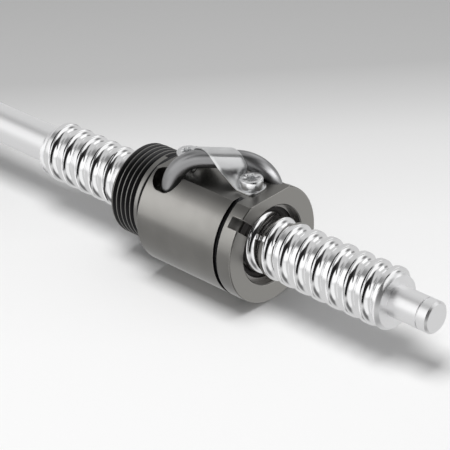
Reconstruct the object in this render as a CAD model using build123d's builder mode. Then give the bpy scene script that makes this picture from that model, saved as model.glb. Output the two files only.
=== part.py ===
from build123d import *
from math import cos, hypot, pi, radians, sin, tan
import os

os.makedirs("parts", exist_ok=True)

# Ball screw nut on its ball screw, in millimetres.
# The origin is on the screw's axis, in the shoulder where the nut's flange seats.
# +X runs along the screw towards its journal, +Z stands up out of the nut's flat.
# Angles about the axis are counted from +Y towards +Z.

# Balls and their helical track
lead = 5.08
ball_r = 3.175 / 2
ball_circle_r = 8.015
groove_r = 1.65
circuit_turns = 3.5
circuit_front_clearance = 1.4025
ball_gap = 0.03

# Screw
crest_r = 7.7
thread_rear_x = -44.0
thread_front_x = 71.3
shoulder_chamfer = 1.0
run_out_turns = 0.35
journal_r = 4.0
journal_length = 11.5
journal_chamfer = 0.5
ring_groove_from_end = 3.3
ring_groove_width = 0.45
ring_groove_depth = 0.25
rear_shaft_r = 5.0
rear_shaft_length = 53.0
rear_shaft_chamfer = 0.6

# Nut body
body_r = 15.0
body_length = 32.0
body_chamfer = 0.25
flat_z = 13.3
land_r = 8.3
turned_groove_from_front = 4.35
turned_groove_width = 1.35
turned_groove_depth = 0.9
front_pocket_r = 10.17
front_pocket_depth = 4.2
rear_pocket_r = 9.5
rear_pocket_depth = 4.6
mouth_chamfer = 0.3
notch_angle = 136.5
notch_width = 3.0
notch_length = 3.2

# Threaded tail, 15/16-16
tail_r = 11.906
tail_length = 13.2
tail_pitch = 25.4 / 16
tail_thread_depth = 0.6134 * tail_pitch
tail_chamfer = 0.9
vee_over = 0.02
relief_length = 2.1
relief_below_root = 0.18

# Return tube: two pressed halves, bent over the flat from one end of the track to the other
tube_r = 2.28
tube_wall = 0.55
tube_bend_r = 8.7
crossing_behind_circuit = 0.82
crossing_z = 17.85
crossing_half_span = 11.05
tube_foot_z = 1.0
tube_hole_clearance = 0.05
tube_screw_clearance = 0.45
slots_behind_circuit = 0.52
slot_y = 7.75
slot_half_width = 3.35
slot_outer_reach = 14.6
slot_inner_reach = 6.1
slot_floor_z = 8.6

# Clamp strap and its screws
strap_thickness = 0.5
strap_tube_clearance = 0.05
strap_half_width = 2.45
strap_tab_half_width = 3.1
strap_drift = 0.6
strap_bend = [
    (-6.38, -2.92, 0.78, -0.38, 1.85, 0.755),
    (-4.68, -2.95, 0.525, -0.18, 1.9, 0.586),
    (0.92, -strap_tab_half_width, 0, -1.48, strap_tab_half_width, 0),
]
arch_angle = 56.0
arch_steps = 8
clamp_reach = 10.7
tab_end_reach = 2.95
tab_end_bow = 0.5
clamp_head_r = 2.92
clamp_head_height = 2.7
clamp_head_chamfer = 0.35
clamp_shank_r = 1.5
clamp_grip = 2.7
clamp_hole_bottom_gap = 0.3
clamp_shank_clearance = 0.04
tab_hole_clearance = 0.12
socket_r = 1.1
socket_lobe_r = 0.34
socket_depth = 1.5

# Wipers and the split rings that hold them
front_wiper_thickness = 1.3
rear_wiper_thickness = 2.2
wiper_screw_clearance = 0.08
wiper_pocket_clearance = 0.05
wiper_side_clearance = 0.1
wiper_lip = 0.4
ring_thickness = 0.7
ring_side_clearance = 0.04
ring_seat_depth = 0.45
ring_seat_clearance = 0.05
ring_inner_reach = 1.0
ring_opening_angle = 26.0

# Values that follow from the ones above
body_front_x = body_length
circuit_half_x = circuit_turns * lead / 2
front_pickup_x = body_front_x - front_pocket_depth - circuit_front_clearance - ball_r
circuit_x = front_pickup_x - circuit_half_x
rear_pickup_x = circuit_x - circuit_half_x
crossing_x = circuit_x - crossing_behind_circuit
slots_x = circuit_x - slots_behind_circuit
clamp_front_x = crossing_x + clamp_reach
clamp_rear_x = crossing_x - clamp_reach
strap_top_z = flat_z + strap_thickness
tail_root_r = tail_r - tail_thread_depth
relief_r = tail_root_r - relief_below_root
vee_half_crest = 7 / 16 * tail_pitch
vee_half_root = tail_pitch / 12
journal_end_x = thread_front_x + journal_length
ring_groove_x = journal_end_x - ring_groove_from_end
rear_end_x = thread_rear_x - rear_shaft_length
crossing_length = hypot(2 * crossing_half_span, 2 * ball_circle_r)
along_x = 2 * crossing_half_span / crossing_length
along_y = 2 * ball_circle_r / crossing_length


def square_to(path):
    """Plane across a helix at its start, with its x axis pointing outwards."""
    start = path @ 0
    return Plane(origin=start, x_dir=(0, start.Y, start.Z), z_dir=path % 0)


def on_leg(side, height):
    """Point at a height on the centre line of the tube's leg. side is -1 for the rear leg and 1 for the front."""
    foot_x = circuit_x + side * circuit_half_x
    corner_x = crossing_x + side * crossing_half_span
    return Vector(foot_x + (corner_x - foot_x) * height / crossing_z, side * ball_circle_r, height)


def return_path(foot_z):
    """Centre line of the return tube, with both legs beginning at the height foot_z."""
    with BuildLine(mode=Mode.PRIVATE) as path:
        FilletPolyline(
            on_leg(-1, foot_z),
            on_leg(-1, crossing_z),
            on_leg(1, crossing_z),
            on_leg(1, foot_z),
            radius=tube_bend_r,
        )
    return path.wire()


# Nut body: turned outside and inside, threaded behind the shoulder
with BuildPart() as nut_body:
    # Threaded tail, with its thread cut before the end chamfer and the relief
    with BuildSketch(Plane.YZ.offset(-tail_length)):
        Circle(tail_r)
    extrude(amount=tail_length)
    with BuildLine(mode=Mode.PRIVATE) as vee_path:
        Helix(
            tail_pitch,
            (int((tail_length - relief_length) / tail_pitch) + 1) * tail_pitch,
            tail_r,
            center=(-tail_length - tail_pitch, 0, 0),
            direction=(1, 0, 0),
        )
    with BuildSketch(square_to(vee_path.line)):
        Polygon(
            (vee_over, vee_half_crest + vee_over * tan(radians(30))),
            (vee_over, -vee_half_crest - vee_over * tan(radians(30))),
            (-tail_thread_depth, -vee_half_root),
            (-tail_thread_depth, vee_half_root),
            align=None,
        )
    sweep(path=vee_path.line, is_frenet=True, mode=Mode.SUBTRACT)
    with BuildSketch(Plane.XY):
        Polygon(
            (-tail_length - tail_chamfer, tail_r - 2 * tail_chamfer),
            (-tail_length + 2 * tail_chamfer, tail_r + tail_chamfer),
            (-tail_length - tail_chamfer, tail_r + tail_chamfer),
            align=None,
        )
        Polygon(
            (-relief_length - 2 * tail_thread_depth, tail_r + tail_thread_depth),
            (-relief_length, relief_r),
            (tail_thread_depth, relief_r),
            (tail_thread_depth, tail_r + tail_thread_depth),
            align=None,
        )
    revolve(axis=Axis.X, mode=Mode.SUBTRACT)

    # Round body, its turned groove and the flat
    turned_groove_x = body_front_x - turned_groove_from_front
    with BuildSketch(Plane.XY):
        Polygon(*[
            (-relief_length, 0),
            (-relief_length, relief_r),
            (0, relief_r),
            (0, body_r - body_chamfer),
            (body_chamfer, body_r),
            (turned_groove_x - turned_groove_width, body_r),
            (turned_groove_x - turned_groove_width, body_r - turned_groove_depth),
            (turned_groove_x, body_r - turned_groove_depth),
            (turned_groove_x, body_r),
            (body_front_x - body_chamfer, body_r),
            (body_front_x, body_r - body_chamfer),
            (body_front_x, 0),
        ], align=None)
    revolve(axis=Axis.X)
    with Locations((body_length / 2, 0, flat_z + body_r / 2)):
        Box(body_length + 1, 2 * body_r, body_r, mode=Mode.SUBTRACT)

    # Bore, and the two pockets with the seats of the split rings
    front_floor_x = body_front_x - front_pocket_depth
    rear_floor_x = -tail_length + rear_pocket_depth
    front_ring_x = front_floor_x + front_wiper_thickness + 2 * wiper_side_clearance
    rear_ring_x = rear_floor_x - rear_wiper_thickness - 2 * wiper_side_clearance
    ring_seat_width = ring_thickness + 2 * ring_side_clearance
    with BuildSketch(Plane.XY):
        Polygon(*[
            (-tail_length, 0),
            (-tail_length, rear_pocket_r + mouth_chamfer),
            (-tail_length + mouth_chamfer, rear_pocket_r),
            (rear_ring_x - ring_seat_width, rear_pocket_r),
            (rear_ring_x - ring_seat_width, rear_pocket_r + ring_seat_depth),
            (rear_ring_x, rear_pocket_r + ring_seat_depth),
            (rear_ring_x, rear_pocket_r),
            (rear_floor_x, rear_pocket_r),
            (rear_floor_x, land_r),
            (front_floor_x, land_r),
            (front_floor_x, front_pocket_r),
            (front_ring_x, front_pocket_r),
            (front_ring_x, front_pocket_r + ring_seat_depth),
            (front_ring_x + ring_seat_width, front_pocket_r + ring_seat_depth),
            (front_ring_x + ring_seat_width, front_pocket_r),
            (body_front_x - mouth_chamfer, front_pocket_r),
            (body_front_x, front_pocket_r + mouth_chamfer),
            (body_front_x, 0),
        ], align=None)
    revolve(axis=Axis.X, mode=Mode.SUBTRACT)

    # Notch in the front ring, for a tool that lifts the split ring out
    notch_plane = Plane(
        origin=(body_front_x - notch_length / 2, 0, 0),
        x_dir=(1, 0, 0),
        z_dir=(0, cos(radians(notch_angle)), sin(radians(notch_angle))),
    )
    with BuildSketch(notch_plane.offset(front_pocket_r - 1)):
        Rectangle(notch_length, notch_width)
    extrude(amount=body_r, mode=Mode.SUBTRACT)

    # Ball track, from the rear pick-up to the front one
    with BuildLine(mode=Mode.PRIVATE) as circuit:
        Helix(lead, circuit_turns * lead, ball_circle_r, center=(rear_pickup_x, 0, 0), direction=(1, 0, 0))
    circuit_track = circuit.line.rotate(Axis.X, 90)
    with BuildSketch(square_to(circuit_track)):
        Circle(groove_r)
    sweep(path=circuit_track, is_frenet=True, mode=Mode.SUBTRACT)

    # Drilled legs and milled slots for the return tube
    for side in (-1, 1):
        leg_plane = Plane(
            origin=on_leg(side, 0),
            x_dir=(0, 1, 0),
            z_dir=on_leg(side, crossing_z) - on_leg(side, 0),
        )
        with BuildSketch(leg_plane):
            Circle(tube_r + tube_hole_clearance)
        extrude(amount=slot_floor_z + tube_r, mode=Mode.SUBTRACT)
        slot_centre_x = slots_x + side * (slot_outer_reach + slot_inner_reach) / 2
        with BuildSketch(Plane.XY.offset(slot_floor_z)):
            with Locations((slot_centre_x, side * slot_y)):
                SlotOverall(slot_outer_reach - slot_inner_reach, 2 * slot_half_width)
        extrude(amount=body_r, mode=Mode.SUBTRACT)

    # Tapped holes for the clamp screws
    for clamp_x in (clamp_front_x, clamp_rear_x):
        with BuildSketch(Plane.XY.offset(flat_z)):
            with Locations((clamp_x, 0)):
                Circle(clamp_shank_r + clamp_shank_clearance)
        extrude(amount=-(clamp_grip + clamp_hole_bottom_gap), mode=Mode.SUBTRACT)
nut_body.part.label = "nut_body"
export_step(nut_body.part, "parts/nut_body.step")

# Ball screw: threaded length, journal and plain rear shaft in one piece
with BuildPart() as screw_shaft:
    with BuildSketch(Plane.XY):
        Polygon(*[
            (rear_end_x, 0),
            (rear_end_x, rear_shaft_r - rear_shaft_chamfer),
            (rear_end_x + rear_shaft_chamfer, rear_shaft_r),
            (thread_rear_x, rear_shaft_r),
            (thread_rear_x, crest_r - shoulder_chamfer),
            (thread_rear_x + shoulder_chamfer, crest_r),
            (thread_front_x - shoulder_chamfer, crest_r),
            (thread_front_x, crest_r - shoulder_chamfer),
            (thread_front_x, journal_r),
            (ring_groove_x, journal_r),
            (ring_groove_x, journal_r - ring_groove_depth),
            (ring_groove_x + ring_groove_width, journal_r - ring_groove_depth),
            (ring_groove_x + ring_groove_width, journal_r),
            (journal_end_x - journal_chamfer, journal_r),
            (journal_end_x, journal_r - journal_chamfer),
            (journal_end_x, 0),
        ], align=None)
    revolve(axis=Axis.X)
    turns_behind = int((front_pickup_x - thread_rear_x) / lead) + 2
    turns_ahead = int((thread_front_x - front_pickup_x) / lead)
    groove_start_x = front_pickup_x + lead / 4 - turns_behind * lead
    groove_end_x = front_pickup_x + lead / 4 + turns_ahead * lead
    for start_x, turns in ((groove_start_x, turns_behind + turns_ahead), (groove_end_x, run_out_turns)):
        with BuildLine(mode=Mode.PRIVATE) as groove:
            Helix(lead, turns * lead, ball_circle_r, center=(start_x, 0, 0), direction=(1, 0, 0))
        with BuildSketch(square_to(groove.line)):
            Circle(groove_r)
        sweep(path=groove.line, is_frenet=True, mode=Mode.SUBTRACT)
screw_shaft.part.label = "screw_shaft"
export_step(screw_shaft.part, "parts/screw_shaft.step")

# Return tube: the two halves meet along the centre line, so the seam runs over the crown
tube_path = return_path(tube_foot_z)
tube_start = Plane(origin=tube_path @ 0, x_dir=(along_y, -along_x, 0), z_dir=tube_path % 0)
for name, side in (("return_tube_near_half", 1), ("return_tube_far_half", -1)):
    with BuildPart() as tube_half:
        with BuildSketch(tube_start):
            Circle(tube_r)
            Circle(tube_r - tube_wall, mode=Mode.SUBTRACT)
            with Locations((-side * tube_r, 0)):
                Rectangle(2 * tube_r, 2 * tube_r, mode=Mode.SUBTRACT)
        sweep(path=tube_path)
        with BuildSketch(Plane.YZ):
            Circle(crest_r + tube_screw_clearance)
        extrude(amount=body_length, mode=Mode.SUBTRACT)
    tube_half.part.label = name
    export_step(tube_half.part, f"parts/{name}.step")

# Clamp strap: a sheet wrapped over the tube and twisted down to a flat tab at each end. Its edges are given
# for the front half as pairs of points, and the rear half is the same turned half a turn about the crown
arch_r = tube_r + strap_tube_clearance + strap_thickness


def strap_edge(y, across, z):
    """Point of the strap's edge at a width y, a distance across the tube and a height."""
    return Vector(crossing_x + (across + y * along_x) / along_y, y, z)


front_stations = []
for step in range(arch_steps + 1):
    angle = radians(arch_angle * step / arch_steps)
    drift = strap_drift * step / arch_steps
    across = arch_r * sin(angle)
    height = crossing_z + arch_r * cos(angle)
    front_stations.append((
        strap_edge(-strap_half_width - 0.75 * drift, across, height),
        strap_edge(strap_half_width - drift, across, height),
    ))
drop = front_stations[-1][0].Z - strap_top_z
knee_x = clamp_front_x - clamp_head_r
for near_reach, near_y, near_share, far_reach, far_y, far_share in strap_bend:
    front_stations.append((
        Vector(knee_x + near_reach, near_y, strap_top_z + near_share * drop),
        Vector(knee_x + far_reach, far_y, strap_top_z + far_share * drop),
    ))
tab_end_x = clamp_front_x + tab_end_reach
front_stations.append((
    Vector(tab_end_x + tab_end_bow, -strap_tab_half_width, strap_top_z),
    Vector(tab_end_x + tab_end_bow, strap_tab_half_width, strap_top_z),
))
rear_stations = [
    (Vector(2 * crossing_x - far.X, -far.Y, far.Z), Vector(2 * crossing_x - near.X, -near.Y, near.Z))
    for near, far in front_stations
]
stations = rear_stations[:0:-1] + front_stations


def strap_section(index):
    """Cross-section of the sheet at a station: the edge pair and the same pair a thickness below."""
    near, far = stations[index]
    before = stations[max(index - 1, 0)]
    after = stations[min(index + 1, len(stations) - 1)]
    ahead = (after[0] + after[1]) - (before[0] + before[1])
    inward = (far - near).cross(ahead).normalized() * strap_thickness
    if near.Z == strap_top_z:
        inward = Vector(0, 0, -strap_thickness)
    return Face(Wire.make_polygon([near, far, far + inward, near + inward], close=True))


with BuildPart() as clamp_strap:
    loft(sections=[strap_section(index) for index in range(len(stations))], ruled=True)
    for turn in (-1, 1):
        end_x = crossing_x + turn * (clamp_reach + tab_end_reach)
        near_corner = (end_x - turn * tab_end_bow, -strap_tab_half_width - tab_end_bow)
        far_corner = (end_x - turn * tab_end_bow, strap_tab_half_width + tab_end_bow)
        with BuildSketch(Plane.XY.offset(flat_z)):
            with BuildLine():
                ThreePointArc(near_corner, (end_x, 0), far_corner)
                Line(far_corner, (end_x + 2 * turn * tab_end_bow, far_corner[1]))
                Line((end_x + 2 * turn * tab_end_bow, far_corner[1]), (end_x + 2 * turn * tab_end_bow, near_corner[1]))
                Line((end_x + 2 * turn * tab_end_bow, near_corner[1]), near_corner)
            make_face()
            with Locations((crossing_x + turn * clamp_reach, 0)):
                Circle(clamp_shank_r + tab_hole_clearance)
        extrude(amount=strap_thickness, mode=Mode.SUBTRACT)
clamp_strap.part.label = "clamp_strap"
export_step(clamp_strap.part, "parts/clamp_strap.step")

# Clamp screws: a cylinder head with a six-lobed socket
for name, clamp_x in (("clamp_screw_front", clamp_front_x), ("clamp_screw_rear", clamp_rear_x)):
    head_top_z = strap_top_z + clamp_head_height
    with BuildPart() as clamp_screw:
        with BuildSketch(Plane.XY.offset(strap_top_z)):
            with Locations((clamp_x, 0)):
                Circle(clamp_head_r)
        extrude(amount=clamp_head_height)
        chamfer(clamp_screw.edges().group_by(Axis.Z)[-1], clamp_head_chamfer)
        with BuildSketch(Plane.XY.offset(head_top_z)):
            with Locations((clamp_x, 0)):
                Circle(socket_r)
                with PolarLocations(socket_r, 6):
                    Circle(socket_lobe_r)
        extrude(amount=-socket_depth, mode=Mode.SUBTRACT)
        with BuildSketch(Plane.XY.offset(strap_top_z)):
            with Locations((clamp_x, 0)):
                Circle(clamp_shank_r)
        extrude(amount=-(strap_thickness + clamp_grip))
    clamp_screw.part.label = name
    export_step(clamp_screw.part, f"parts/{name}.step")

# Balls under load, one node for each turn of the track
turn_length = hypot(2 * pi * ball_circle_r, lead)
ball_pitch_wanted = 2 * ball_r + ball_gap
loaded_count = int(circuit_turns * turn_length / ball_pitch_wanted)
ball_pitch = circuit_turns * turn_length / loaded_count
turn_balls = {}
for index in range(loaded_count):
    turned = (index + 0.5) * ball_pitch / turn_length
    angle = radians(360 * turned + 180)
    place = (rear_pickup_x + turned * lead, ball_circle_r * cos(angle), ball_circle_r * sin(angle))
    turn_balls.setdefault(int(turned) + 1, []).append(place)
for turn, places in turn_balls.items():
    with BuildPart() as loaded_balls:
        with Locations(*places):
            Sphere(ball_r)
    loaded_balls.part.label = f"loaded_balls_turn_{turn}"
    export_step(loaded_balls.part, f"parts/loaded_balls_turn_{turn}.step")

# Balls on their way back through the tube
ball_path = return_path(0)
return_count = int((ball_path.length - 2 * ball_pitch) / ball_pitch_wanted) + 1
first_ball = (ball_path.length - (return_count - 1) * ball_pitch_wanted) / 2
with BuildPart() as return_balls:
    with Locations(*[
        ball_path.position_at(first_ball + index * ball_pitch_wanted, PositionMode.LENGTH)
        for index in range(return_count)
    ]):
        Sphere(ball_r)
return_balls.part.label = "return_balls"
export_step(return_balls.part, "parts/return_balls.step")


def wiper_outline(floor_x, thickness, pocket_r):
    """Felt ring that stands on a pocket's floor, away from it in +X, or in -X for a negative thickness."""
    outward = 1 if thickness > 0 else -1
    back = floor_x + outward * wiper_side_clearance
    front = back + thickness
    return [
        (back, crest_r + wiper_screw_clearance),
        (back, pocket_r - wiper_pocket_clearance),
        (front, pocket_r - wiper_pocket_clearance),
        (front, crest_r + wiper_screw_clearance + wiper_lip),
        (front - outward * wiper_lip, crest_r + wiper_screw_clearance),
    ]


# Felt wipers in the pockets at both ends of the nut
for name, floor_x, thickness, pocket_r in (
    ("wiper_front", front_floor_x, front_wiper_thickness, front_pocket_r),
    ("wiper_rear", rear_floor_x, -rear_wiper_thickness, rear_pocket_r),
):
    with BuildPart() as wiper:
        with BuildSketch(Plane.XY):
            Polygon(*wiper_outline(floor_x, thickness, pocket_r), align=None)
        revolve(axis=Axis.X)
    wiper.part.label = name
    export_step(wiper.part, f"parts/{name}.step")

# Split rings that hold the wipers, with their opening at the notch
for name, seat_x, outward, pocket_r in (
    ("wiper_ring_front", front_ring_x, 1, front_pocket_r),
    ("wiper_ring_rear", rear_ring_x, -1, rear_pocket_r),
):
    outer_r = pocket_r + ring_seat_depth - ring_seat_clearance
    with BuildPart() as ring:
        with BuildSketch(Plane.YZ.offset(seat_x + outward * ring_side_clearance)):
            Circle(outer_r)
            Circle(pocket_r - ring_inner_reach, mode=Mode.SUBTRACT)
            with Locations(Rotation(0, 0, notch_angle)):
                with Locations((outer_r / 2, 0)):
                    Rectangle(
                        2 * outer_r, 2 * outer_r * sin(radians(ring_opening_angle / 2)),
                        align=(Align.MIN, Align.CENTER), mode=Mode.SUBTRACT,
                    )
        extrude(amount=outward * ring_thickness)
    ring.part.label = name
    export_step(ring.part, f"parts/{name}.step")
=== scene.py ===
from math import acos, asin, atan2, cos, pi, radians, sin, tan

import bmesh
import bpy
from bpy.props import FloatProperty, FloatVectorProperty, PointerProperty
from mathutils import Matrix, Vector


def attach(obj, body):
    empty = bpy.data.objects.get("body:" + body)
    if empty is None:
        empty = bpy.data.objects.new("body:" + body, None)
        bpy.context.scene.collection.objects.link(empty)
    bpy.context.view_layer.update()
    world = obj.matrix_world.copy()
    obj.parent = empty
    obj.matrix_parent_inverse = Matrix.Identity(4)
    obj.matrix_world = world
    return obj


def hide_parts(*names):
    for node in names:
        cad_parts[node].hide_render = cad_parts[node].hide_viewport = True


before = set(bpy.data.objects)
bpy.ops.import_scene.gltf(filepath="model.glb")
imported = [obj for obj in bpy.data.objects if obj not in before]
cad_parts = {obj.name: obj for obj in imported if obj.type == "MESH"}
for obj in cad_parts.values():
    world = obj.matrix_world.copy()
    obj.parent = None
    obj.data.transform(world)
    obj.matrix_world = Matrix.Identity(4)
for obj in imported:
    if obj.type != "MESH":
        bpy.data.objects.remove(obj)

bl_info = {
    "name": "Ball Screw Nut",
    "version": (1, 0, 0),
    "blender": (4, 5, 0),
    "location": "View3D > Sidebar > Ball Screw",
    "description": "Builds the visible pieces and finishes of a ball screw nut on its packed frame",
    "category": "Object",
}


def length(name, description, metres):
    """Property for a size of the object."""
    return FloatProperty(name=name, description=description, default=metres, min=0, precision=5,
                         subtype="DISTANCE", unit="LENGTH")


def place(name, description, metres):
    """Property for a place along an axis, which may be negative."""
    return FloatProperty(name=name, description=description, default=metres, precision=5,
                         subtype="DISTANCE", unit="LENGTH")


def colour(name, description, rgb):
    """Property for a colour."""
    return FloatVectorProperty(name=name, description=description, default=rgb, size=3, min=0, max=1,
                               subtype="COLOR")


def share(name, description, value):
    """Property for a number from 0 to 1."""
    return FloatProperty(name=name, description=description, default=value, min=0, max=1, subtype="FACTOR")


def power(name, description, value):
    """Property for how strong a light is."""
    return FloatProperty(name=name, description=description, default=value, min=0)


class NutSizes(bpy.types.PropertyGroup):
    """Places on the nut's body where its finish changes."""
    tail_crest: length("Tail crest radius", "Radius beyond which the tail's thread is rubbed bright", 0.01184)
    body: length("Body radius", "Outer radius of the nut's body", 0.015)
    front_face: place("Front face", "Place along the axis of the nut's front face", 0.032)
    groove_rear: place("Groove's rear edge", "Place along the axis where the turned groove begins", 0.0263)
    groove_front: place("Groove's front edge", "Place along the axis where the turned groove ends", 0.02765)
    groove_depth: length("Groove depth", "Depth below the body's surface that the turned groove stays within", 0.001)


class ScrewSizes(bpy.types.PropertyGroup):
    """Sizes of the ball screw."""
    lead: length("Lead", "Distance along the screw from one turn of the groove to the next", 0.00508)
    ball_circle: length("Ball circle radius", "Distance from the axis to the middle of the groove", 0.008015)
    groove: length("Groove radius", "Radius of the groove's round bottom", 0.00177)
    crest: length("Crest radius", "Outer radius of the threaded length", 0.0077)
    crest_chamfer: length("Crest chamfer", "Width of the small bevel on each edge of the thread's crest", 0.0003)
    crest_rounding: length("Crest rounding", "Radius on the edges between groove and crest", 0.00006)
    phase: place("Groove phase", "Place where the groove's middle crosses the +Y side", 0.02481)
    rear: place("Rear end of the thread", "Where the threaded length begins", -0.0452)
    front: place("Front end of the thread", "Where the threaded length ends", 0.0713)
    shoulder: length("Shoulder chamfer", "Chamfer at both ends of the threaded length", 0.001)
    journal: length("Journal radius", "Radius of the turned front end", 0.004)
    journal_length: length("Journal length", "Length of the turned front end", 0.0115)
    ring_groove: length("Ring groove from end", "Distance from the journal's end to its ring groove", 0.0033)
    rear_shaft: length("Rear shaft radius", "Radius of the plain rear shaft", 0.005)
    rear_length: length("Rear shaft length", "Length of the plain rear shaft", 0.0518)


class TubeSizes(bpy.types.PropertyGroup):
    """Sizes of the return tube."""
    radius: length("Tube radius", "Outer radius of the return tube", 0.00228)
    wall: length("Tube wall", "Thickness of the tube's wall", 0.00055)
    bend: length("Bend radius", "Radius of the tube's centre line in its two bends", 0.0087)
    crossing: place("Crossing height", "Height of the tube's centre line where it crosses the nut", 0.01785)
    middle: place("Crossing middle", "Place along the axis where the tube crosses over the screw", 0.0151)
    half_span: length("Half span", "Half of the distance along the axis between the tube's two corners", 0.01105)
    circuit_middle: place("Circuit middle", "Place along the axis of the ball circuit's middle", 0.01592)
    circuit_half: length("Circuit half length", "Half of the circuit's length along the axis", 0.00889)
    seam: length("Seam gap", "Gap between the two halves of the tube", 0.00005)


class StrapSizes(bpy.types.PropertyGroup):
    """Sizes of the clamp strap and its screws."""
    thickness: length("Sheet thickness", "Thickness of the strap's sheet", 0.0005)
    half_width: length("Half width", "Half of the strap's width where it crosses the tube", 0.00245)
    tab_half_width: length("Tab half width", "Half of the width of the strap's flat ends", 0.0031)
    flat: place("Flat height", "Height of the nut's flat", 0.0133)
    reach: length("Screw reach", "Distance along the axis from the strap's middle to each clamp screw", 0.0107)
    tab_reach: length("Tab reach", "Distance from a clamp screw to the end of its tab", 0.00295)
    head: length("Head radius", "Radius of a clamp screw's head", 0.00292)
    head_height: length("Head height", "Height of a clamp screw's head", 0.0027)
    head_rounding: length("Head edge", "Size of the rounded edge on top of a clamp screw's head", 0.00045)
    socket: length("Socket radius", "Largest radius of the six-lobed socket", 0.00144)
    socket_depth: length("Socket depth", "Depth of the six-lobed socket", 0.0015)


class Finishes(bpy.types.PropertyGroup):
    """Colours of the metals and the felt, and how far the nut's edges are lightened, partly rubbed bright by use and
    partly as a painted highlight.
    """
    nut: colour("Nut steel", "Colour of the nut's ground steel", (0.222, 0.217, 0.206))
    oxide: colour("Black oxide", "Colour of the blackened tail thread and groove", (0.07, 0.07, 0.072))
    screw: colour("Screw steel", "Colour of the polished screw", (0.93, 0.93, 0.935))
    tube: colour("Tube steel", "Colour of the return tube", (0.36, 0.36, 0.365))
    zinc: colour("Zinc", "Colour of the zinc on the strap and its screws", (0.83, 0.835, 0.84))
    felt: colour("Felt", "Colour of the wipers", (0.045, 0.042, 0.04))
    ring: colour("Ring steel", "Colour of the wipers' split rings", (0.34, 0.33, 0.32))
    # How far the nut's edges are lightened: partly rubbed bright by use, partly a painted highlight.
    wear_and_highlight: share("Edge wear", "How far the nut's edges are worn bright", 0.6)


class StageSettings(bpy.types.PropertyGroup):
    """Floor and light of the studio."""
    floor: colour("Floor", "Colour of the floor", (0.9, 0.9, 0.9))
    floor_height: place("Floor height", "Height of the floor", -0.0151)
    key: power("Key light", "Power of the large overhead light", 5.0)
    nut_side: power("Nut light", "Power of the soft light on the nut's side", 0.31)
    face_side: power("Face light", "Power of the soft light on the nut's front face", 0.08)
    tube_side: power("Tube light", "Power of the soft light on the return tube", 0.9)
    fastener_side: power("Fastener light", "Power of the soft light on the strap's screws", 0.9)
    room: power("Room light", "Brightness of the room's even light", 0.36)


# What the metal reflects: (azimuth, elevation, half width, half height in degrees, softness, brightness).
# A later panel covers an earlier one. The last two are below the horizon, in the place of the floor.
REFLECTED_PANELS = (
    (-168, 50, 14, 12, 0.18, 0.26),
    (-98, 33, 39, 28, 0.14, 1.15),
    (-21, 26, 25, 42, 0.10, 0.015),
    (-28, 70, 50, 11, 0.12, 0.05),
    (97, 34, 14, 18, 0.12, 1.2),
    (36, 16, 25, 27, 0.12, 1.05),
    (68, 13, 9, 10, 0.10, 0.22),
    (106, 8, 8, 11, 0.10, 0.25),
    (-76, -30, 25, 32, 0.14, 0.95),
    (-29, -50, 15, 20, 0.16, 0.16),
)
# Brightness reflected below and above the horizon, and the heights of a direction between which it turns
REFLECTED_BELOW, REFLECTED_ABOVE = 0.66, 0.64
REFLECTED_HORIZON = (-0.08, 0.02)
# Brightness that the camera sees past the floor
BACKDROP = 0.7

# Painted falloff of light on the floor: its colour's brightness at shares of the way from FLOOR_NEAR to FLOOR_FAR,
# measured along FLOOR_AWAY
FLOOR_PAINTED_FALLOFF = ((0.0, 1.0), (0.25, 0.955), (0.435, 0.86), (0.50, 0.81), (0.60, 0.68), (0.71, 0.55), (1.0, 0.50))
FLOOR_AWAY = (-0.717, 0.697, 0)
FLOOR_NEAR, FLOOR_FAR = -0.04, 0.16
FLOOR_REACH = 3

# Large overhead light
KEY_PLACE = (0.03, -0.12, 0.79)
KEY_AIM = (0.01, 0, 0)
KEY_SIZE = 0.42

# Soft lights of single pieces: (setting, azimuth and elevation in degrees, width, height, pieces)
SIDE_LIGHTS = (
    ("nut_side", -136, 14, 0.16, 0.42, ("nut_body",)),
    ("face_side", 44, -30, 0.50, 0.30, ("nut_body",)),
    ("tube_side", 18, 12, 0.60, 0.14, ("pressed_return_tube_near_half", "pressed_return_tube_far_half")),
    ("fastener_side", -50, -22, 0.70, 0.45, ("plated_clamp_screw_front", "plated_clamp_screw_rear")),
)
SIDE_LIGHT_AIM = (0.015, 0, 0.005)
SIDE_LIGHT_DISTANCE = 0.5

# Found from the photograph: the camera's place and axes in the frame, and its lens and sensor in millimetres
CAMERA_PLACE = (0.341108, -0.315704, 0.266669)
CAMERA_RIGHT = (0.7168, 0.6954, -0.0510)
CAMERA_DOWN = (0.3225, -0.3955, -0.8600)
CAMERA_FORWARD = (-0.6182, 0.6000, -0.5078)
CAMERA_LENS = 171.2
CAMERA_SENSOR = 36

# Height of the marks that turning and grain leave
MARK_HEIGHT = 0.00002


def piece_object(name, mesh_builder, material, body, nodes, sharp=50):
    """Object from a bmesh, smooth except at sharp edges, that rides on a body in place of CAD nodes."""
    bmesh.ops.recalc_face_normals(mesh_builder, faces=mesh_builder.faces)
    for face in mesh_builder.faces:
        face.smooth = True
    for edge in mesh_builder.edges:
        if len(edge.link_faces) == 2:
            edge.smooth = edge.calc_face_angle(0) < radians(sharp)
    mesh = bpy.data.meshes.new(name)
    mesh_builder.to_mesh(mesh)
    mesh_builder.free()
    mesh.materials.append(material)
    piece = bpy.data.objects.new(name, mesh)
    bpy.context.scene.collection.objects.link(piece)
    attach(piece, body)
    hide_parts(*nodes)


def dress_node(name, material):
    """Gives a CAD node its finish."""
    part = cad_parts[name]
    part.data.materials.clear()
    part.data.materials.append(material)


# Nodes


def feed(tree, socket, value):
    """Links an input to another node's output, or sets the input's own value."""
    if isinstance(value, bpy.types.NodeSocket):
        tree.links.new(value, socket)
    elif socket.type == "RGBA":
        socket.default_value = (*value, 1)
    else:
        socket.default_value = value


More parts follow.
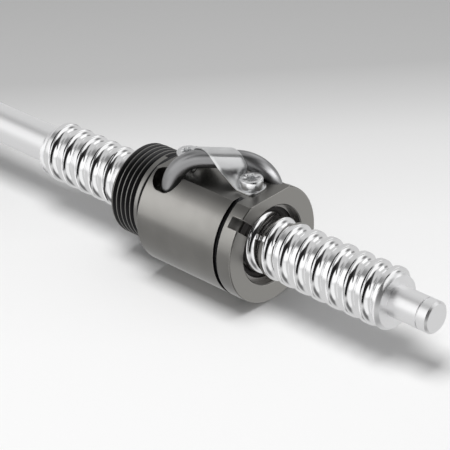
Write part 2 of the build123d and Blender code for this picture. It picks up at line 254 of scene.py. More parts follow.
def node(tree, kind, settings=None, **inputs):
    """Adds a node. Settings are its properties, and inputs go by name, or as the letter i and a number."""
    made = tree.nodes.new(kind)
    for title, value in (settings or {}).items():
        setattr(made, title, value)
    for title, value in inputs.items():
        numbered = title[0] == "i" and title[1:].isdigit()
        feed(tree, made.inputs[int(title[1:]) if numbered else title.replace("_", " ")], value)
    return made


def maths(tree, operation, a, b=0.0, clamp=False):
    """Math node's result."""
    return node(tree, "ShaderNodeMath", {"operation": operation, "use_clamp": clamp}, i0=a, i1=b).outputs[0]


def overlap(tree, mask, *others):
    """Mask of what is inside all of the given masks."""
    for other in others:
        mask = maths(tree, "MULTIPLY", mask, other)
    return mask


def blended(tree, share_of_b, a, b):
    """Mix of two numbers."""
    return node(tree, "ShaderNodeMix", {"data_type": "FLOAT"}, i0=share_of_b, i2=a, i3=b).outputs[0]


def mixed(tree, share_of_b, a, b):
    """Mix of two colours."""
    return node(tree, "ShaderNodeMix", {"data_type": "RGBA"}, i0=share_of_b, i6=a, i7=b).outputs[2]


def ranged(tree, value, low, high, to_low=0.0, to_high=1.0):
    """Smooth Map Range node's result, clamped."""
    return node(tree, "ShaderNodeMapRange", {"interpolation_type": "SMOOTHSTEP"}, Value=value,
                From_Min=low, From_Max=high, To_Min=to_low, To_Max=to_high).outputs[0]


def dot_product(tree, a, b):
    """Dot product of two vectors."""
    return node(tree, "ShaderNodeVectorMath", {"operation": "DOT_PRODUCT"}, i0=a, i1=b).outputs["Value"]


def here(tree):
    """Place of the shaded point in the object's own axes."""
    return tree.nodes.new("ShaderNodeTexCoord").outputs["Object"]


def place_parts(tree):
    """The X, Y and Z of the shaded point's place."""
    parts = node(tree, "ShaderNodeSeparateXYZ", None, Vector=here(tree)).outputs
    return parts["X"], parts["Y"], parts["Z"]


def off_axis(tree, y, z):
    """Distance from the X axis."""
    across = node(tree, "ShaderNodeCombineXYZ", None, Y=y, Z=z).outputs[0]
    return node(tree, "ShaderNodeVectorMath", {"operation": "LENGTH"}, i0=across).outputs["Value"]


def noise_at(tree, position, scale, detail, **more):
    """Noise texture's value at a place."""
    return node(tree, "ShaderNodeTexNoise", None, Vector=position, Scale=scale, Detail=detail, **more).outputs["Fac"]


def scaled(tint, factor, lift=0.0):
    """Colour made brighter or darker, up to white."""
    return [min(1, c * factor + lift) for c in tint]


# Node groups for the effects that several finishes share


def new_group(name, inputs, outputs):
    """Empty shader node group. Inputs are (name, type of socket, default), and outputs are (name, type)."""
    group = bpy.data.node_groups.new(name, "ShaderNodeTree")
    for title, kind, default in inputs:
        socket = group.interface.new_socket(title, in_out="INPUT", socket_type=kind)
        if default is not None:
            socket.default_value = default
    for title, kind in outputs:
        group.interface.new_socket(title, in_out="OUTPUT", socket_type=kind)
    return group, group.nodes.new("NodeGroupInput").outputs, group.nodes.new("NodeGroupOutput").inputs


def edge_wear_and_highlight_group():
    """Mask of the edges within a width, broken up by noise."""
    group, given, result = new_group(
        "Edge Wear",
        [("Width", "NodeSocketFloat", 0.0002), ("Breakup Scale", "NodeSocketFloat", 900.0)],
        [("Mask", "NodeSocketFloat")],
    )
    rounded = node(group, "ShaderNodeBevel", {"samples": 4}, Radius=given["Width"]).outputs["Normal"]
    flat = group.nodes.new("ShaderNodeNewGeometry").outputs["Normal"]
    bend = maths(group, "SUBTRACT", 1.0, dot_product(group, rounded, flat))
    noise = noise_at(group, here(group), given["Breakup Scale"], 3.0)
    edge = ranged(group, bend, 0.01, 0.12)
    broken = ranged(group, noise, 0.3, 0.55, 0.45, 1.0)
    group.links.new(maths(group, "MULTIPLY", edge, broken, clamp=True), result["Mask"])
    return group


def turning_group():
    """Fine lines round the axis, as a lathe or a grinding wheel leaves them, over softened edges."""
    group, given, result = new_group(
        "Turning Lines",
        [("Lines", "NodeSocketFloat", 9000.0), ("Length", "NodeSocketFloat", 60.0),
         ("Strength", "NodeSocketFloat", 0.05), ("Edge Radius", "NodeSocketFloat", 0.0)],
        [("Value", "NodeSocketFloat"), ("Normal", "NodeSocketVector")],
    )
    x, y, z = place_parts(group)
    across = maths(group, "MULTIPLY", maths(group, "ADD", x, off_axis(group, y, z)), given["Lines"])
    streaks = node(
        group, "ShaderNodeCombineXYZ", None, X=across,
        Y=maths(group, "MULTIPLY", y, given["Length"]), Z=maths(group, "MULTIPLY", z, given["Length"]),
    )
    noise = noise_at(group, streaks.outputs[0], 1.0, 2.0, Roughness=0.6)
    softened = node(group, "ShaderNodeBevel", {"samples": 6}, Radius=given["Edge Radius"])
    bump = node(group, "ShaderNodeBump", None, Strength=given["Strength"], Distance=MARK_HEIGHT, Height=noise,
                Normal=softened.outputs["Normal"])
    group.links.new(noise, result["Value"])
    group.links.new(bump.outputs["Normal"], result["Normal"])
    return group


def grain_group():
    """Even fine grain as a normal, and slow smudges over it."""
    group, given, result = new_group(
        "Grain",
        [("Grain Scale", "NodeSocketFloat", 6000.0), ("Smudge Scale", "NodeSocketFloat", 120.0),
         ("Strength", "NodeSocketFloat", 0.1)],
        [("Smudge", "NodeSocketFloat"), ("Normal", "NodeSocketVector")],
    )
    grain = noise_at(group, here(group), given["Grain Scale"], 4.0)
    bump = node(group, "ShaderNodeBump", None, Strength=given["Strength"], Distance=MARK_HEIGHT, Height=grain)
    group.links.new(noise_at(group, here(group), given["Smudge Scale"], 3.0), result["Smudge"])
    group.links.new(bump.outputs["Normal"], result["Normal"])
    return group


def panel_group():
    """Mask of a rectangular panel of light or shade, seen in a direction."""
    group, given, result = new_group(
        "Panel",
        [("Direction", "NodeSocketVector", None), ("Centre", "NodeSocketVector", None),
         ("Across", "NodeSocketVector", None), ("Up", "NodeSocketVector", None),
         ("Half Width", "NodeSocketFloat", 0.2), ("Half Height", "NodeSocketFloat", 0.2),
         ("Softness", "NodeSocketFloat", 0.1)],
        [("Mask", "NodeSocketFloat")],
    )

    def along(title):
        return dot_product(group, given["Direction"], given[title])

    ahead = maths(group, "MAXIMUM", along("Centre"), 0.001)
    masks = []
    for title, half in (("Across", "Half Width"), ("Up", "Half Height")):
        offset = maths(group, "ABSOLUTE", maths(group, "ARCTAN2", along(title), ahead))
        inside = maths(group, "SUBTRACT", given[half], offset)
        masks.append(ranged(group, inside, maths(group, "MULTIPLY", given["Softness"], -1.0), given["Softness"]))
    group.links.new(overlap(group, *masks), result["Mask"])
    return group


SHARED_GROUPS = {
    "Edge Wear": edge_wear_and_highlight_group,
    "Turning Lines": turning_group,
    "Grain": grain_group,
    "Panel": panel_group,
}


def use_group(tree, name, **values):
    """Outputs of a shared group with its own values. The group is built the first time it is asked for."""
    group = bpy.data.node_groups.get(name) or SHARED_GROUPS[name]()
    return node(tree, "ShaderNodeGroup", {"node_tree": group}, **values).outputs


# Finishes


def new_material(name):
    """Material with a plain Principled surface, then its tree and that surface's inputs."""
    material = bpy.data.materials.new(name)
    material.use_nodes = True
    tree = material.node_tree
    tree.nodes.clear()
    surface = tree.nodes.new("ShaderNodeBsdfPrincipled")
    output = tree.nodes.new("ShaderNodeOutputMaterial")
    tree.links.new(surface.outputs[0], output.inputs["Surface"])
    return material, tree, surface.inputs


def fill_surface(tree, surface, base, roughness, normal, metallic=1.0):
    """Gives a surface its colour, roughness and normal, as a metal unless told otherwise."""
    for title, value in (("Base Color", base), ("Roughness", roughness), ("Normal", normal), ("Metallic", metallic)):
        feed(tree, surface[title], value)


def nut_steel(finishes, sizes):
    """Ground steel of the nut, with the blackened tail and turned groove told apart by where they are."""
    material, tree, surface = new_material("nut_steel")
    margin, blend = 0.00001, 0.00003
    x, y, z = place_parts(tree)
    radius = off_axis(tree, y, z)
    tail = maths(tree, "LESS_THAN", x, -2 * margin)
    crest = overlap(tree, tail, ranged(tree, radius, sizes.tail_crest - blend, sizes.tail_crest + blend))
    middle, half = (sizes.groove_rear + sizes.groove_front) / 2, (sizes.groove_front - sizes.groove_rear) / 2
    beside = maths(tree, "ABSOLUTE", maths(tree, "SUBTRACT", x, middle))
    in_groove = overlap(
        tree,
        maths(tree, "LESS_THAN", beside, half + margin),
        maths(tree, "LESS_THAN", radius, sizes.body - blend),
        maths(tree, "GREATER_THAN", radius, sizes.body - sizes.groove_depth),
    )
    black = maths(tree, "MAXIMUM", tail, in_groove)
    on_face = maths(tree, "GREATER_THAN", x, sizes.front_face - 5 * margin)
    turning = use_group(tree, "Turning Lines", Lines=9000.0, Length=35.0, Strength=0.006, Edge_Radius=0.0002)
    smudge = use_group(tree, "Grain", Smudge_Scale=90.0)["Smudge"]
    edges = use_group(tree, "Edge Wear", Width=0.00024, Breakup_Scale=400.0)["Mask"]
    steel = finishes.nut
    ground = mixed(tree, ranged(tree, smudge, 0.35, 0.65), scaled(steel, 0.92), scaled(steel, 1.06))
    # Painted light: the front face is coloured 1.3 times lighter than the body, in place of the brighter reflection it
    # catches.
    face_painted_lighter = mixed(tree, on_face, ground, scaled(steel, 1.3))
    # Edges lightened threefold: partly rubbed bright by use, partly a painted highlight along the edges.
    worn_and_highlit = mixed(tree, maths(tree, "MULTIPLY", edges, finishes.wear_and_highlight), face_painted_lighter, scaled(steel, 3.0))
    blackened = mixed(tree, maths(tree, "MULTIPLY", crest, 0.7), finishes.oxide, scaled(steel, 1.4))
    rough = ranged(tree, turning["Value"], 0.3, 0.7, 0.28, 0.30)
    rough = maths(tree, "ADD", rough, maths(tree, "MULTIPLY", black, 0.08))
    fill_surface(tree, surface, mixed(tree, black, worn_and_highlit, blackened), rough, turning["Normal"])
    return material


def bright_steel(name, tint, rough, lines, strength, satin=None):
    """Polished steel. Where satin gives two places along the axis, it is finely turned outside them."""
    material, tree, surface = new_material(name)
    turning = use_group(tree, "Turning Lines", Lines=lines, Length=40.0, Strength=strength)
    smudge = use_group(tree, "Grain", Smudge_Scale=150.0)["Smudge"]
    base = mixed(tree, ranged(tree, smudge, 0.35, 0.65), scaled(tint, 0.95), tint)
    roughness = ranged(tree, turning["Value"], 0.3, 0.7, *rough)
    if satin:
        x = place_parts(tree)[0]
        behind, ahead = maths(tree, "LESS_THAN", x, satin[0]), maths(tree, "GREATER_THAN", x, satin[1])
        outside = maths(tree, "MAXIMUM", behind, ahead)
        base = mixed(tree, outside, base, scaled(tint, 1.05))
        roughness = maths(tree, "ADD", roughness, maths(tree, "MULTIPLY", outside, 0.30))
    fill_surface(tree, surface, base, roughness, turning["Normal"])
    return material


def plain_metal(name, tint, rough, grain_scale, strength, wear_and_highlight):
    """Pressed, plated or tumbled metal with fine grain, smudges and brighter edges."""
    material, tree, surface = new_material(name)
    grain = use_group(tree, "Grain", Grain_Scale=grain_scale, Smudge_Scale=260.0, Strength=strength)
    edges = use_group(tree, "Edge Wear", Width=0.00012, Breakup_Scale=1200.0)["Mask"]
    base = mixed(tree, ranged(tree, grain["Smudge"], 0.3, 0.7), scaled(tint, 0.88), tint)
    # Edges lightened: partly rubbed bright by use, partly a painted highlight along the edges.
    worn_and_highlit = mixed(tree, maths(tree, "MULTIPLY", edges, wear_and_highlight), base, scaled(tint, 1.25, 0.08))
    fill_surface(tree, surface, worn_and_highlit, ranged(tree, grain["Smudge"], 0.3, 0.7, *rough), grain["Normal"])
    return material


def dark_felt(tint):
    """Pressed felt of the wipers, matte and fibrous."""
    material, tree, surface = new_material("wiper_felt")
    fibres = noise_at(tree, here(tree), 2600.0, 6.0, Roughness=0.7, Distortion=1.5)
    base = mixed(tree, fibres, scaled(tint, 0.5), scaled(tint, 1.9))
    bump = node(tree, "ShaderNodeBump", None, Strength=0.6, Distance=0.00008, Height=fibres)
    fill_surface(tree, surface, base, 0.75, bump.outputs["Normal"], metallic=0.0)
    return material


# Shapes


def bridge(mesh_builder, ring, following):
    """Faces between two closed rings with the same number of vertices."""
    for k in range(len(ring)):
        j = (k + 1) % len(ring)
        mesh_builder.faces.new((ring[k], ring[j], following[j], following[k]))


def screw_profile(sizes, groove_steps=18, bend_steps=3, crest_steps=3):
    """Outline of one turn from the middle of the groove to the next: (distance along the axis, radius)."""
    r, f, c, tilt = sizes.groove, sizes.crest_rounding, sizes.crest_chamfer, radians(38)
    drop = sizes.ball_circle - sizes.crest
    wall = acos((drop + f + c * sin(tilt)) / (r + f))
    half = [(r * sin(wall * k / groove_steps), sizes.ball_circle - r * cos(wall * k / groove_steps))
            for k in range(groove_steps + 1)]

    def bend(start, end):
        along, radius = half[-1]
        for k in range(1, bend_steps + 1):
            turn = start + (end - start) * k / bend_steps
            half.append((along + f * (sin(start) - sin(turn)), radius + f * (cos(turn) - cos(start))))

    bend(wall, tilt)
    half.append((half[-1][0] + c * cos(tilt), half[-1][1] + c * sin(tilt)))
    bend(tilt, 0)
    middle = half[-1][0]
    for k in range(1, crest_steps):
        half.append((middle + (sizes.lead / 2 - middle) * k / crest_steps, sizes.crest))
    far = [(sizes.lead - along, radius) for along, radius in reversed(half[1:])]
    return half + [(sizes.lead / 2, sizes.crest)] + far


def thread_mesh(sizes, around=96, spare_turns=3):
    """Threaded length as a helical grid, cut square at both ends and open there."""
    profile = screw_profile(sizes)
    least = sizes.journal + 0.0006
    first = int((sizes.rear - sizes.phase) / sizes.lead) - spare_turns
    last = int((sizes.front - sizes.phase) / sizes.lead) + spare_turns
    mesh_builder = bmesh.new()
    grid = []
    for i in range(around):
        turn = i / around
        column = []
        for k in range(first, last):
            for along, radius in profile:
                x = sizes.phase + (k + turn) * sizes.lead + along
                limit = min(sizes.crest, sizes.crest - sizes.shoulder + min(sizes.front - x, x - sizes.rear))
                radius = min(radius, max(limit, least))
                column.append((x, radius * cos(2 * pi * turn), radius * sin(2 * pi * turn)))
        grid.append([mesh_builder.verts.new(co) for co in column])
    for column, following in zip(grid, grid[1:] + [grid[0][len(profile):]]):
        for j in range(len(following) - 1):
            mesh_builder.faces.new((column[j], following[j], following[j + 1], column[j + 1]))
    for x, way in ((sizes.front, 1), (sizes.rear, -1)):
        everything = mesh_builder.verts[:] + mesh_builder.edges[:] + mesh_builder.faces[:]
        bmesh.ops.bisect_plane(mesh_builder, geom=everything, dist=1e-7, plane_co=(x, 0, 0), plane_no=(way, 0, 0),
                               clear_outer=True)
    return mesh_builder


def lathe_on(mesh_builder, rim_x, stations):
    """Carries the open rim at a place along the X axis through (x, radius) stations and closes the end."""
    ring = [v for v in mesh_builder.verts if abs(v.co.x - rim_x) < 1e-6 and any(e.is_boundary for e in v.link_edges)]
    ring.sort(key=lambda v: atan2(v.co.z, v.co.y))
    for x, radius in stations:
        angles = [atan2(vert.co.z, vert.co.y) for vert in ring]
        following = [mesh_builder.verts.new((x, radius * cos(angle), radius * sin(angle))) for angle in angles]
        bridge(mesh_builder, ring, following)
        ring = following
    mesh_builder.faces.new(ring)


def ball_screw_mesh(sizes):
    """Threaded length with the journal and the rear shaft turned on."""
    mesh_builder = thread_mesh(sizes)
    groove_depth, groove_width, front_chamfer, front_hub = 0.00025, 0.00045, 0.0005, 0.0006
    end = sizes.front + sizes.journal_length
    groove = end - sizes.ring_groove
    lathe_on(mesh_builder, sizes.front, [
        (sizes.front, sizes.journal), (groove, sizes.journal), (groove, sizes.journal - groove_depth),
        (groove + groove_width, sizes.journal - groove_depth), (groove + groove_width, sizes.journal),
        (end - front_chamfer, sizes.journal), (end, sizes.journal - front_chamfer), (end, front_hub),
    ])
    rear_chamfer, rear_hub = 0.0006, 0.0008
    back = sizes.rear - sizes.rear_length
    lathe_on(mesh_builder, sizes.rear, [
        (sizes.rear, sizes.rear_shaft), (back + rear_chamfer, sizes.rear_shaft),
        (back, sizes.rear_shaft - rear_chamfer), (back, rear_hub),
    ])
    return mesh_builder


def rounded_path(corners, radius, steps=22):
    """Straight runs with rounded corners, as (point, direction) pairs."""
    path = [(corners[0], (corners[1] - corners[0]).normalized())]
    for before, corner, after in zip(corners, corners[1:], corners[2:]):
        inward = (corner - before).normalized()
        outward = (after - corner).normalized()
        turn = inward.angle(outward)
        start = corner - inward * radius * tan(turn / 2)
        across = (outward - inward * inward.dot(outward)).normalized()
        centre = start + across * radius
        for k in range(steps + 1):
            angle = turn * k / steps
            path.append((
                centre + (inward * sin(angle) - across * cos(angle)) * radius,
                inward * cos(angle) + across * sin(angle),
            ))
    path.append((corners[-1], (corners[-1] - corners[-2]).normalized()))
    return path


def tube_half_outline(tube, outer_steps=28, inner_steps=16):
    """Section of half a tube as (out, up) points, with rounded lips where it meets the other half."""
    outer, inner, gap = tube.radius, tube.radius - tube.wall, tube.seam / 2
    lip, inner_lip = 0.00009, 0.00002
    eased = (gap + lip * 0.25, outer - lip * 0.3)
    open_outer, open_inner = asin((gap + lip) / outer), asin(gap / inner)
    outline = []
    for k in range(outer_steps + 1):
        angle = -pi / 2 + open_outer + (pi - 2 * open_outer) * k / outer_steps
        outline.append((outer * cos(angle), outer * sin(angle)))
    outline += [eased, (gap, outer - lip), (gap, inner + inner_lip)]
    for k in range(inner_steps + 1):
        angle = pi / 2 - open_inner - (pi - 2 * open_inner) * k / inner_steps
        outline.append((inner * cos(angle), inner * sin(angle)))
    return outline + [(gap, -outer + lip), (eased[0], -eased[1])]


def tube_half_mesh(tube, screw, near, leg_start=0.34):
    """One pressed half of the return tube. Leg start is how far up from the ball circuit its legs begin."""
    legs = []
    for way in (-1, 1):
        corner = Vector((tube.middle + way * tube.half_span, way * screw.ball_circle, tube.crossing))
        foot = Vector((tube.circuit_middle + way * tube.circuit_half, way * screw.ball_circle, 0))
        legs.append((foot.lerp(corner, leg_start), corner))
    corners = [legs[0][0], legs[0][1], legs[1][1], legs[1][0]]
    crossing = (corners[2] - corners[1]).normalized()
    side = Vector((crossing.y, -crossing.x, 0)) * (1 if near else -1)
    outline = tube_half_outline(tube)
    mesh_builder = bmesh.new()
    rings = []
    for point, along in rounded_path(corners, tube.bend):
        side = (side - along * side.dot(along)).normalized()
        up = along.cross(side)
        rings.append([mesh_builder.verts.new(point + side * s + up * u) for s, u in outline])
    for ring, following in zip(rings, rings[1:]):
        bridge(mesh_builder, ring, following)
    mesh_builder.faces.new(rings[0])
    mesh_builder.faces.new(rings[-1])
    return mesh_builder


def strap_edge_pairs(tube, screw, strap, crown_steps=8):
    """Edge points of the strap's front half, from its crown over the tube to the knee of its tab."""
    clearance, wrap, narrowing = 0.00005, radians(56), 0.0006
    run = Vector((2 * tube.half_span, 2 * screw.ball_circle)).normalized()
    arch = tube.radius + clearance + strap.thickness
    pairs = []
    for step in range(crown_steps + 1):
        angle = wrap * step / crown_steps
        drift = narrowing * step / crown_steps
        across, height = arch * sin(angle), tube.crossing + arch * cos(angle)
        pairs.append([
            Vector((tube.middle + (across + y * run.x) / run.y, y, height))
            for y in (-strap.half_width - 0.75 * drift, strap.half_width - drift)
        ])
    top = strap.flat + strap.thickness
    drop = pairs[-1][0].z - top
    knee = tube.middle + strap.reach - strap.head
    # Down to the tab: place from the knee, place across and share of the drop, on the near and the far edge
    for near_x, near_y, near_share, far_x, far_y, far_share in (
        (-0.00638, -0.00292, 0.78, -0.00038, 0.00185, 0.755),
        (-0.00468, -0.00295, 0.525, -0.00018, 0.0019, 0.586),
        (0.00092, -strap.tab_half_width, 0, -0.00148, strap.tab_half_width, 0),
    ):
        pairs.append([
            Vector((knee + near_x, near_y, top + near_share * drop)),
            Vector((knee + far_x, far_y, top + far_share * drop)),
        ])
    return pairs


def smooth_between(points, per_span):
    """Points on a smooth curve through the given ones."""
    curve = []
    for k in range(len(points) - 1):
        p0, p1, p2, p3 = (points[min(max(k + n, 0), len(points) - 1)] for n in (-1, 0, 1, 2))
        for step in range(per_span):
            t = step / per_span
            curve.append(0.5 * (2 * p1 + (p2 - p0) * t + (2 * p0 - 5 * p1 + 4 * p2 - p3) * t ** 2
                                + (3 * p1 - p0 - 3 * p2 + p3) * t ** 3))
    return curve + [points[-1]]


def border(grid):
    """Vertices round the edge of a grid, in order."""
    return [row[0] for row in grid] + grid[-1][1:] + [row[-1] for row in grid[-2::-1]] + grid[0][-2:0:-1]


def clamp_strap_mesh(tube, screw, strap, across=8, per_span=4, tab_steps=8):
    """Sheet of the strap: smooth rows between its two edges, then a thickness and rounded edges."""
    near, far = (smooth_between(edge, per_span) for edge in zip(*strap_edge_pairs(tube, screw, strap)))
    rows = [[a.lerp(b, k / across) for k in range(across + 1)] for a, b in zip(near, far)]
    end = tube.middle + strap.reach + strap.tab_reach
    top = strap.flat + strap.thickness
    tips = []
    for k in range(across + 1):
        y = -strap.tab_half_width + 2 * strap.tab_half_width * k / across
        bow = 0.0008 * (y / strap.tab_half_width) ** 4 + 0.0003 * (y / strap.tab_half_width) ** 2
        tips.append(Vector((end - bow, y, top)))
    knee = rows[-1]
    for step in range(1, tab_steps + 1):
        rows.append([bent.lerp(tip, step / tab_steps) for bent, tip in zip(knee, tips)])
    turned = [[Vector((2 * tube.middle - p.x, -p.y, p.z)) for p in reversed(row)] for row in rows]
    rows = turned[:0:-1] + rows
    mesh_builder = bmesh.new()
    grid = [[mesh_builder.verts.new(p) for p in row] for row in rows]
    for i in range(len(grid) - 1):
        for k in range(across):
            mesh_builder.faces.new((grid[i][k], grid[i][k + 1], grid[i + 1][k + 1], grid[i + 1][k]))
    bmesh.ops.recalc_face_normals(mesh_builder, faces=mesh_builder.faces)
    mesh_builder.normal_update()
    if grid[len(grid) // 2][across // 2].normal.z < 0:
        bmesh.ops.reverse_faces(mesh_builder, faces=mesh_builder.faces)
        mesh_builder.normal_update()
    below = [[mesh_builder.verts.new(v.co - v.normal * strap.thickness) for v in row] for row in grid]
    for i in range(len(grid) - 1):
        for k in range(across):
            mesh_builder.faces.new((below[i][k], below[i + 1][k], below[i + 1][k + 1], below[i][k + 1]))
    bridge(mesh_builder, border(grid), border(below))
    bmesh.ops.recalc_face_normals(mesh_builder, faces=mesh_builder.faces)
    rims = [e for e in mesh_builder.edges if e.calc_face_angle(0) > radians(60)]
    bmesh.ops.bevel(mesh_builder, geom=rims, offset=0.00007, segments=2, profile=0.5, affect="EDGES")
    return mesh_builder


def clamp_screw_mesh(strap, centre_x, around=96, edge_steps=5):
    """Cylinder-head screw with a rounded edge and a six-lobed socket."""
    seat = strap.flat + strap.thickness
    top = seat + strap.head_height
    edge, edge_height = strap.head_rounding, strap.head_rounding * 1.25
    shank, foot, bevel, point = 0.0015, seat - 0.0030, 0.0001, 0.0001
    outside = [(foot, point), (foot, shank - 0.0002), (foot + 0.0003, shank), (seat, shank),
               (seat, strap.head - bevel), (seat + bevel, strap.head), (top - edge_height, strap.head)]
    for k in range(1, edge_steps + 1):
        angle = pi / 2 * k / edge_steps
        outside.append((top - edge_height * (1 - sin(angle)), strap.head - edge * (1 - cos(angle))))
    angles = [2 * pi * k / around for k in range(around)]
    rings = [[(radius * cos(a), radius * sin(a), height) for a in angles] for height, radius in outside]
    waist = strap.socket * 0.74
    lobed = [waist + (strap.socket - waist) * ((1 + cos(6 * a)) / 2) ** 0.8 for a in angles]
    for depth, grow in ((0, 0.00022), (0.00012, 0.00006), (0.00022, 0), (strap.socket_depth, 0)):
        rings.append([((r + grow) * cos(a), (r + grow) * sin(a), top - depth) for r, a in zip(lobed, angles)])
    bottom = top - strap.socket_depth - 0.0004
    rings.append([(point * cos(a), point * sin(a), bottom) for a in angles])
    mesh_builder = bmesh.new()
    made = [[mesh_builder.verts.new((centre_x + x, y, z)) for x, y, z in ring] for ring in rings]
    for ring, following in zip(made, made[1:]):
        bridge(mesh_builder, ring, following)
    mesh_builder.faces.new(made[0])
    mesh_builder.faces.new(made[-1])
    return mesh_builder


# Stage


def toward(azimuth, elevation):
    """Direction from its two angles in degrees."""
    a, e = radians(azimuth), radians(elevation)
    return Vector((cos(e) * cos(a), cos(e) * sin(a), sin(e)))


def area_light(name, place_at, aim, width, height, energy):
    """Rectangular soft light that points from one place towards another."""
    light = bpy.data.lights.new(name, "AREA")
    light.shape = "RECTANGLE"
    light.size, light.size_y, light.energy = width, height, energy
    lamp = bpy.data.objects.new(name, light)
    lamp.location = place_at
    lamp.rotation_euler = (Vector(aim) - Vector(place_at)).to_track_quat("-Z", "Y").to_euler()
    bpy.context.scene.collection.objects.link(lamp)
    return lamp


def side_light(name, azimuth, elevation, width, height, energy, pieces):
    """Soft light from one direction, which lights the named pieces alone and is shaded by nothing else."""
    aim = Vector(SIDE_LIGHT_AIM)
    place_at = aim + SIDE_LIGHT_DISTANCE * toward(azimuth, elevation)
    lamp = area_light(name, place_at, aim, width, height, energy)
    lit = bpy.data.collections.new(name + "_pieces")
    for piece in pieces:
        lit.objects.link(bpy.data.objects[piece])
    lamp.light_linking.receiver_collection = lit
    lamp.light_linking.blocker_collection = lit


def make_floor(stage):
    """Paper floor coloured white on the camera's side and darker towards the far side, a painted falloff of light,
    which the metal doesn't mirror.
    """
    mesh = bpy.data.meshes.new("floor")
    corners = [(-FLOOR_REACH, -FLOOR_REACH), (FLOOR_REACH, -FLOOR_REACH), (FLOOR_REACH, FLOOR_REACH),
               (-FLOOR_REACH, FLOOR_REACH)]
    mesh.from_pydata([(x, y, stage.floor_height) for x, y in corners], [], [(0, 1, 2, 3)])
    material, tree, surface = new_material("floor")
    # Painted shade: the floor's colour darkens away from the camera, in place of the light's falloff.
    ramp = tree.nodes.new("ShaderNodeValToRGB")
    for at, _ in FLOOR_PAINTED_FALLOFF[1:-1]:
        ramp.color_ramp.elements.new(at)
    for element, (at, value) in zip(ramp.color_ramp.elements, FLOOR_PAINTED_FALLOFF):
        element.position = at
        element.color = (*scaled(stage.floor, value), 1)
    depth = dot_product(tree, here(tree), FLOOR_AWAY)
    depth = node(tree, "ShaderNodeMapRange", None, Value=depth, From_Min=FLOOR_NEAR, From_Max=FLOOR_FAR)
    tree.links.new(depth.outputs[0], ramp.inputs["Fac"])
    tree.links.new(ramp.outputs["Color"], surface["Base Color"])
    surface["Roughness"].default_value = 0.9
    surface["Specular IOR Level"].default_value = 0.1
    mesh.materials.append(material)
    floor = bpy.data.objects.new("floor", mesh)
    floor.visible_glossy = False
    bpy.context.scene.collection.objects.link(floor)


def studio_world(stage):
    """Even light for the room, and panels of light and shade that only the metal reflects."""
    world = bpy.data.worlds.new("studio")
    world.use_nodes = True
    tree = world.node_tree
    background = tree.nodes["Background"]
    direction = tree.nodes.new("ShaderNodeTexCoord").outputs["Generated"]
    height = node(tree, "ShaderNodeSeparateXYZ", None, Vector=direction).outputs["Z"]
    brightness = ranged(tree, height, *REFLECTED_HORIZON, REFLECTED_BELOW, REFLECTED_ABOVE)
    for azimuth, elevation, half_width, half_height, softness, value in REFLECTED_PANELS:
        mask = use_group(
            tree, "Panel", Direction=direction, Centre=toward(azimuth, elevation),
            Across=toward(azimuth + 90, 0), Up=toward(azimuth, elevation + 90),
            Half_Width=radians(half_width), Half_Height=radians(half_height), Softness=softness,
        )["Mask"]
        brightness = blended(tree, mask, brightness, value)
    path = tree.nodes.new("ShaderNodeLightPath").outputs
    strength = blended(tree, path["Is Glossy Ray"], stage.room, brightness)
    background.inputs["Color"].default_value = (1, 1, 1, 1)
    tree.links.new(blended(tree, path["Is Camera Ray"], strength, BACKDROP), background.inputs["Strength"])
    return world


def photo_camera():
    """Camera where the photograph was taken from."""
    camera = bpy.data.cameras.new("camera")
    camera.lens, camera.sensor_width = CAMERA_LENS, CAMERA_SENSOR
    camera.clip_start, camera.clip_end = 0.01, 20
    viewer = bpy.data.objects.new("camera", camera)
    axes = Matrix((CAMERA_RIGHT, [-c for c in CAMERA_DOWN], [-c for c in CAMERA_FORWARD])).transposed()
    viewer.matrix_world = Matrix.Translation(CAMERA_PLACE) @ axes.to_4x4()
    bpy.context.scene.collection.objects.link(viewer)
    return viewer


# Operators


class BALLSCREW_OT_screw(bpy.types.Operator):
    """Build the ball screw with its helical groove, journal and rear shaft"""
    bl_idname = "ballscrew.screw"
    bl_label = "Ball Screw"

    def execute(self, context):
        sizes, finishes = context.scene.ball_screw_sizes, context.scene.ball_screw_finishes
        polished = bright_steel("screw_steel", finishes.screw, rough=(0.05, 0.09), lines=7000.0, strength=0.04,
                                satin=(sizes.rear + sizes.shoulder, sizes.front - sizes.shoulder))
        piece_object("ball_screw", ball_screw_mesh(sizes), polished, "screw", ["screw_shaft"], sharp=40)
        return {"FINISHED"}


class BALLSCREW_OT_nut(bpy.types.Operator):
    """Finish the nut's body"""
    bl_idname = "ballscrew.nut"
    bl_label = "Nut Body"

    def execute(self, context):
        dress_node("nut_body", nut_steel(context.scene.ball_screw_finishes, context.scene.nut_sizes))
        return {"FINISHED"}


class BALLSCREW_OT_return_tube(bpy.types.Operator):
    """Build both halves of the return tube"""
    bl_idname = "ballscrew.return_tube"
    bl_label = "Return Tube"

    def execute(self, context):
        scene = context.scene
        metal = plain_metal("tube_steel", scene.ball_screw_finishes.tube, rough=(0.30, 0.38), grain_scale=3500.0,
                            strength=0.03, wear_and_highlight=0.4)
        for name, near in (("return_tube_near_half", True), ("return_tube_far_half", False)):
            half = tube_half_mesh(scene.return_tube_sizes, scene.ball_screw_sizes, near)
            piece_object("pressed_" + name, half, metal, "nut", [name])
        return {"FINISHED"}


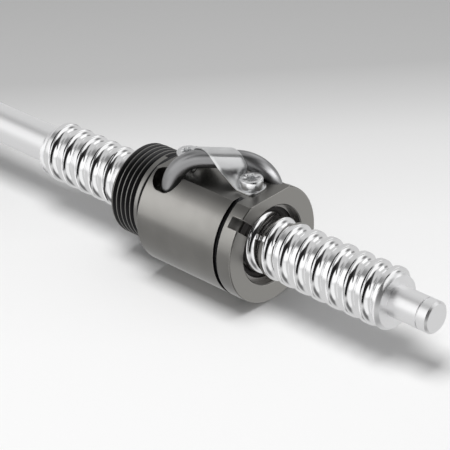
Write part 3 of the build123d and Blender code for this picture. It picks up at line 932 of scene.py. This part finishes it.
class BALLSCREW_OT_clamp(bpy.types.Operator):
    """Build the clamp strap and the two screws that hold it"""
    bl_idname = "ballscrew.clamp"
    bl_label = "Clamp Strap and Screws"

    def execute(self, context):
        scene = context.scene
        tube, strap, zinc = scene.return_tube_sizes, scene.clamp_sizes, scene.ball_screw_finishes.zinc
        sheet = plain_metal("strap_zinc", zinc, rough=(0.30, 0.38), grain_scale=2500.0, strength=0.06, wear_and_highlight=0.9)
        shape = clamp_strap_mesh(tube, scene.ball_screw_sizes, strap)
        piece_object("strap", shape, sheet, "nut", ["clamp_strap"])
        plated = plain_metal("fastener_zinc", zinc, rough=(0.26, 0.34), grain_scale=3500.0, strength=0.05, wear_and_highlight=0.8)
        for name, side in (("clamp_screw_front", 1), ("clamp_screw_rear", -1)):
            shape = clamp_screw_mesh(strap, tube.middle + side * strap.reach)
            piece_object("plated_" + name, shape, plated, "nut", [name])
        return {"FINISHED"}


class BALLSCREW_OT_balls(bpy.types.Operator):
    """Finish the balls in the track and in the return tube"""
    bl_idname = "ballscrew.balls"
    bl_label = "Balls"

    def execute(self, context):
        tint = context.scene.ball_screw_finishes.screw
        polished = bright_steel("ball_steel", tint, rough=(0.05, 0.08), lines=2000.0, strength=0.01)
        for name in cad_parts:
            if "balls" in name:
                dress_node(name, polished)
        return {"FINISHED"}


class BALLSCREW_OT_wipers(bpy.types.Operator):
    """Finish the felt wipers and the split rings that hold them"""
    bl_idname = "ballscrew.wipers"
    bl_label = "Wipers"

    def execute(self, context):
        finishes = context.scene.ball_screw_finishes
        felt = dark_felt(finishes.felt)
        spring = plain_metal("ring_steel", finishes.ring, rough=(0.2, 0.3), grain_scale=3000.0, strength=0.05, wear_and_highlight=0.6)
        for end in ("front", "rear"):
            dress_node("wiper_" + end, felt)
            dress_node("wiper_ring_" + end, spring)
        return {"FINISHED"}


class BALLSCREW_OT_stage(bpy.types.Operator):
    """Make the floor, the lights and the camera"""
    bl_idname = "ballscrew.stage"
    bl_label = "Stage"

    def execute(self, context):
        scene = context.scene
        stage = scene.ball_screw_stage
        make_floor(stage)
        key = area_light("key", KEY_PLACE, KEY_AIM, KEY_SIZE, KEY_SIZE, stage.key)
        key.visible_glossy = False
        for name, azimuth, elevation, width, height, pieces in SIDE_LIGHTS:
            side_light(name, azimuth, elevation, width, height, getattr(stage, name), pieces)
        scene.world = studio_world(stage)
        scene.view_settings.view_transform = "Standard"
        scene.camera = photo_camera()
        return {"FINISHED"}


STEPS = (
    BALLSCREW_OT_screw,
    BALLSCREW_OT_nut,
    BALLSCREW_OT_return_tube,
    BALLSCREW_OT_clamp,
    BALLSCREW_OT_balls,
    BALLSCREW_OT_wipers,
    BALLSCREW_OT_stage,
)
GROUPS = {
    "nut_sizes": NutSizes,
    "ball_screw_sizes": ScrewSizes,
    "return_tube_sizes": TubeSizes,
    "clamp_sizes": StrapSizes,
    "ball_screw_finishes": Finishes,
    "ball_screw_stage": StageSettings,
}


class BALLSCREW_PT_panel(bpy.types.Panel):
    """Lists the steps that build the ball screw nut"""
    bl_idname = "BALLSCREW_PT_panel"
    bl_label = "Ball Screw Nut"
    bl_space_type = "VIEW_3D"
    bl_region_type = "UI"
    bl_category = "Ball Screw"

    def draw(self, context):
        for step in STEPS:
            self.layout.operator(step.bl_idname)


def register():
    for group in GROUPS.values():
        bpy.utils.register_class(group)
    for step in (*STEPS, BALLSCREW_PT_panel):
        bpy.utils.register_class(step)
    for name, group in GROUPS.items():
        setattr(bpy.types.Scene, name, PointerProperty(type=group))


def unregister():
    for name in GROUPS:
        delattr(bpy.types.Scene, name)
    for step in (BALLSCREW_PT_panel, *reversed(STEPS)):
        bpy.utils.unregister_class(step)
    for group in GROUPS.values():
        bpy.utils.unregister_class(group)


def main():
    """Builds every piece and the stage."""
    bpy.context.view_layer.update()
    register()
    for step in STEPS:
        family, name = step.bl_idname.split(".")
        getattr(getattr(bpy.ops, family), name)()


if __name__ == "__main__":
    main()
